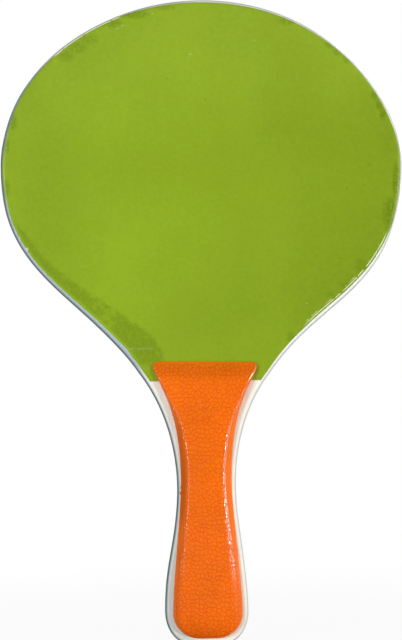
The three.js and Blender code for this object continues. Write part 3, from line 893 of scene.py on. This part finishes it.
# Orange with darker lines in the grain, painted shade under the lip, and painted shade at the end and on
# the left flank
def gripColour(tree, coords, place, low, line):
    look = gripLook
    x, y, z = place
    lipShadeLook, end, flank = look["lipShade"], look["endShade"], look["flankShade"]
    # painted shade under the lip, on the orange and on the grain's lines
    lipShaded = product(tree, remap(tree, z, *lipShadeLook["span"]),
                      remap(tree, z, *lipShadeLook["end"], (1.0, lipShadeLook["atEnd"])), lipShadeLook["share"])
    orange = tint(tree, low, look["orange"], look["lowOrange"])
    colour = tint(tree, lipShaded, orange, lipShadeLook["colour"])
    lineColour = tint(tree, lipShaded, look["crevice"], lipShadeLook["crevice"])
    colour = tint(tree, product(tree, line, look["grain"]["lineShare"]), colour, lineColour)
    cloud = noiseOf(tree, coords, *look["cloud"]["noise"])
    colour = toned(tree, colour, remap(tree, cloud, *look["cloud"]["shown"], look["cloud"]["tones"]))
    # painted shade at the butt's end
    atEnd = product(tree, remap(tree, z, *end["below"]), remap(tree, x, *end["x"], end["shares"]))
    # painted shade on the left flank
    flankShading = product(tree, remap(tree, calc(tree, "ABSOLUTE", y), *flank["depth"]),
                      remap(tree, x, *flank["x"], (0.0, flank["share"])),
                      remap(tree, z, *flank["above"]), remap(tree, z, *flank["below"]))
    return tint(tree, calc(tree, "MAXIMUM", atEnd, flankShading), colour, look["grimeAndShade"])


# Shallow round marks on the grip's face, over the bosses that take the screws
def sinkMarks(tree, place):
    marks = gripLook["marks"]
    radius = marks["radius"]
    sideways = calc(tree, "SUBTRACT", place[0], gripLook["offset"])
    total = 0.0
    for height in screwHeights:
        upwards = calc(tree, "SUBTRACT", place[2], height)
        away = calc(tree, "SQRT", squareOf(tree, sideways, upwards))
        mark = bandOf(tree, away, radius * marks["inner"], radius, radius * marks["soft"])
        total = calc(tree, "MAXIMUM", total, mark)
    return total


# Screws and their counterbores, turned about the screw's axis
screwLook = {
    "steps": 40,
    "shank": 1.75, "root": 1.25,    # radii over and between the threads
    "pitch": 1.4, "crestShares": (0.45, 0.55), "tip": 2.2, "neck": 3.4,
    "head": 3.4, "headChamfer": 0.1, "headEdge": 1.0, "headHeight": 1.9,
    "domeShare": 0.999, "domeRim": 0.001, "domeSteps": 8,    # the dome starts a hair inside the edge
    "recessWidth": 0.9, "recessSpan": 3.6, "recessDepth": 1.1,
    "boreRadius": 3.8, "boreFlare": 0.45,    # counterbore, with a rounded mouth
    "mouthShares": [(0, -1.6), (0.25, -0.7), (1, 0)],    # of the flare, outwards and upwards
    "dull": rgba(0.46, 0.46, 0.47), "bright": rgba(0.62, 0.62, 0.63), "toneNoise": (900, 3.0),
    "roughness": (0.25, 0.4), "roughNoise": (1500, 2.0),
}


def turnedShape(profile, height):
    bm = bmesh.new()
    verts = [bm.verts.new((radius * mm, level * mm, height * mm)) for radius, level in profile]
    edges = [bm.edges.new(pair) for pair in zip(verts, verts[1:])]
    bmesh.ops.spin(bm, geom=verts + edges, cent=(0, 0, height * mm), axis=(0, 1, 0),
                   angle=math.tau, steps=screwLook["steps"], use_merge=True, use_duplicate=False)
    bmesh.ops.remove_doubles(bm, verts=bm.verts, dist=tiny)
    bmesh.ops.recalc_face_normals(bm, faces=bm.faces)
    return bm


def screwProfile(low, high):
    look = screwLook
    seat = high.y - look["headHeight"]
    level = low.y + look["tip"]
    profile = [(0, low.y), (look["root"], level)]
    while level + look["pitch"] < seat - look["neck"]:
        profile += [(look["shank"], level + look["pitch"] * share) for share in look["crestShares"]]
        level += look["pitch"]
        profile.append((look["root"], level))
    chamfer = look["headChamfer"]
    profile += [(look["root"], seat), (look["head"] - chamfer, seat), (look["head"], seat + chamfer)]
    for step in range(look["domeSteps"]):
        angle = math.pi / 2 * step / look["domeSteps"]
        radius = look["head"] * math.cos(angle) * look["domeShare"] + look["domeRim"]
        rise = (look["headHeight"] - look["headEdge"]) * math.sin(angle)
        profile.append((radius, seat + look["headEdge"] + rise))
    return profile + [(0, high.y)]


def buildScrews(material):
    look = screwLook
    span, width, depth = look["recessSpan"], look["recessWidth"], look["recessDepth"]
    for name, height in zip(screwNames, screwHeights):
        low, high = sizesOf(name)
        shape = turnedShape(screwProfile(low, high), height)
        piece = finishPiece(name, "zinc", shape, material)
        for across, upright in ((span, width), (width, span)):
            bm = bmesh.new()
            bmesh.ops.create_cube(bm, size=1)
            bmesh.ops.scale(bm, verts=bm.verts, vec=(across * mm, 2 * depth * mm, upright * mm))
            bmesh.ops.translate(bm, verts=bm.verts, vec=(0, high.y * mm, height * mm))
            cutAway(piece, bm)


def boreGrip(shell):
    look = screwLook
    radius, flare = look["boreRadius"], look["boreFlare"]
    for name, height in zip(screwNames, screwHeights):
        seat = sizesOf(name)[1].y - look["headHeight"]
        surface = gripLow.y + gripHeights(height)[0]
        mouth = [(radius + flare * out, surface + flare * up) for out, up in look["mouthShares"]]
        outside = surface + overrun
        profile = [(0, seat), (radius, seat)] + mouth + [(radius + flare * 2, outside), (0, outside)]
        cutAway(shell, turnedShape(profile, height))


def steel():
    look = screwLook
    material, tree, shader = startMaterial("screw_steel")
    coords = objectCoords(tree)
    tone = noiseOf(tree, coords, *look["toneNoise"])
    rough = remap(tree, noiseOf(tree, coords, *look["roughNoise"]), *middling, look["roughness"])
    feedAll(tree, shader, {"Base Color": tint(tree, tone, look["dull"], look["bright"]),
                           "Roughness": rough, "Metallic": 1.0})
    return material


# Stage, lights and camera, in metres and watts
stageLook = {
    "floorDrop": 0.0002, "floorSize": 8.0, "floorColour": rgba(0.45, 0.45, 0.45),
    "floorRoughness": 0.9,
    "shadowSpan": (0.12, 0.5), "shadowTone": 0.94,    # the floor shows its shadow this near the part
    "darkSide": rgba(0.13, 0.14, 0.16), "brightSide": rgba(0.85, 0.85, 0.84), "sideSpan": (0.1, 0.95),
    "lampAim": 0.1,             # the lamps point at this height
}
lampLook = [
    {"name": "key", "at": (1.9, -1.9, 0.02), "size": 0.12, "power": 23,
     "colour": (1.0, 0.95, 0.83)},
    {"name": "main", "at": (-0.78, -1.0, 0.16), "size": 0.5, "power": 9.2,
     "colour": (0.97, 0.99, 1.0)},
    {"name": "right", "at": (1.8, -0.35, 0.1), "size": 0.6, "power": 12,
     "colour": (1.0, 0.98, 0.95)},
    {"name": "back", "at": (0.3, 1.7, 0.5), "size": 1.0, "power": 22,
     "colour": (1.0, 1.0, 1.0)},
]
cameraLook = {
    "distance": 1.3,
    "pixel": 0.6,               # mm of the racket that one pixel of the photograph covers
    "frameHeight": 640,         # pixels
    "centre": (-1.2, 103.8),    # x and z at the middle of the frame, mm
    "roll": 0.75,               # the racket leans by this many degrees
    "sensor": 36,               # mm
}


# White to the camera, and something else to every other ray
def whiteToCamera(tree, other, white, share, output):
    mix = addNode(tree, "MixShader", {0: share})
    tree.links.new(other.outputs[0], mix.inputs[1])
    tree.links.new(white.outputs[0], mix.inputs[2])
    tree.links.new(mix.outputs[0], tree.nodes[output].inputs[0])


def buildFloor():
    look = stageLook
    bm = bmesh.new()
    bmesh.ops.create_grid(bm, x_segments=1, y_segments=1, size=look["floorSize"] / 2)
    bmesh.ops.translate(bm, verts=bm.verts, vec=(0, 0, coreLow.z * mm - look["floorDrop"]))
    floor = objectFrom("floor", bm)
    material, tree, shader = startMaterial("pale_floor")
    feedAll(tree, shader, {"Base Color": look["floorColour"], "Roughness": look["floorRoughness"],
                           "Specular IOR Level": 0.0})
    x, y = axesOf(tree, objectCoords(tree))[:2]
    away = calc(tree, "SQRT", squareOf(tree, x, y))
    paler = remap(tree, away, *look["shadowSpan"], (look["shadowTone"], 1.0))
    seen = addNode(tree, "LightPath").outputs["Is Camera Ray"]
    glow = addNode(tree, "Emission", {"Color": rgba(1, 1, 1), "Strength": 1.0})
    whiteToCamera(tree, shader, glow, product(tree, seen, paler), "Material Output")
    floor.data.materials.append(material)


def buildWorld():
    look = stageLook
    world = bpy.data.worlds.new("studio")
    bpy.context.scene.world = world
    world.use_nodes = True
    tree = world.node_tree
    dim = tree.nodes["Background"]
    rightward = axesOf(tree, addNode(tree, "TexCoord").outputs["Generated"])[0]
    grey = tint(tree, remap(tree, rightward, *look["sideSpan"]), look["darkSide"], look["brightSide"])
    tree.links.new(grey, dim.inputs["Color"])
    white = addNode(tree, "Background", {"Color": rgba(1, 1, 1), "Strength": 1.0})
    seen = addNode(tree, "LightPath").outputs["Is Camera Ray"]
    whiteToCamera(tree, dim, white, seen, "World Output")


def buildLamps():
    target = Vector((0, 0, stageLook["lampAim"]))
    for look in lampLook:
        lamp = bpy.data.lights.new(look["name"], "AREA")
        lamp.shape, lamp.size = "DISK", look["size"]
        lamp.energy, lamp.color = look["power"], look["colour"]
        holder = bpy.data.objects.new(look["name"], lamp)
        holder.location = look["at"]
        holder.rotation_euler = (target - holder.location).to_track_quat("-Z", "Y").to_euler()
        bpy.context.scene.collection.objects.link(holder)


def buildCamera():
    look = cameraLook
    data = bpy.data.cameras.new("camera")
    camera = bpy.data.objects.new("camera", data)
    halfHeight = look["pixel"] * mm * look["frameHeight"] / 2
    data.sensor_fit, data.sensor_width = "AUTO", look["sensor"]
    data.lens = look["sensor"] / 2 * look["distance"] / halfHeight
    front = filmHigh.y * mm
    camera.location = (look["centre"][0] * mm, -front - look["distance"], look["centre"][1] * mm)
    camera.rotation_euler = (math.pi / 2, math.radians(look["roll"]), 0)
    bpy.context.scene.collection.objects.link(camera)
    bpy.context.scene.camera = camera


buildCamera()
buildBoard(lacquer())
print("stage 2: board")
printed = greenFilm()
buildFilm("print_film_front", printed)
buildFilm("print_film_back", printed)
print("stage 3: films")
plastic = orangePlastic()
buildGrip("grip_shell_front", -1, plastic)
boreGrip(buildGrip("grip_shell_back", 1, plastic))
print("stage 4: grip")
buildScrews(steel())
print("stage 5: screws")
buildFloor()
buildWorld()
buildLamps()
bpy.context.scene.view_settings.view_transform = "Standard"
print("stage 6: stage and lights")
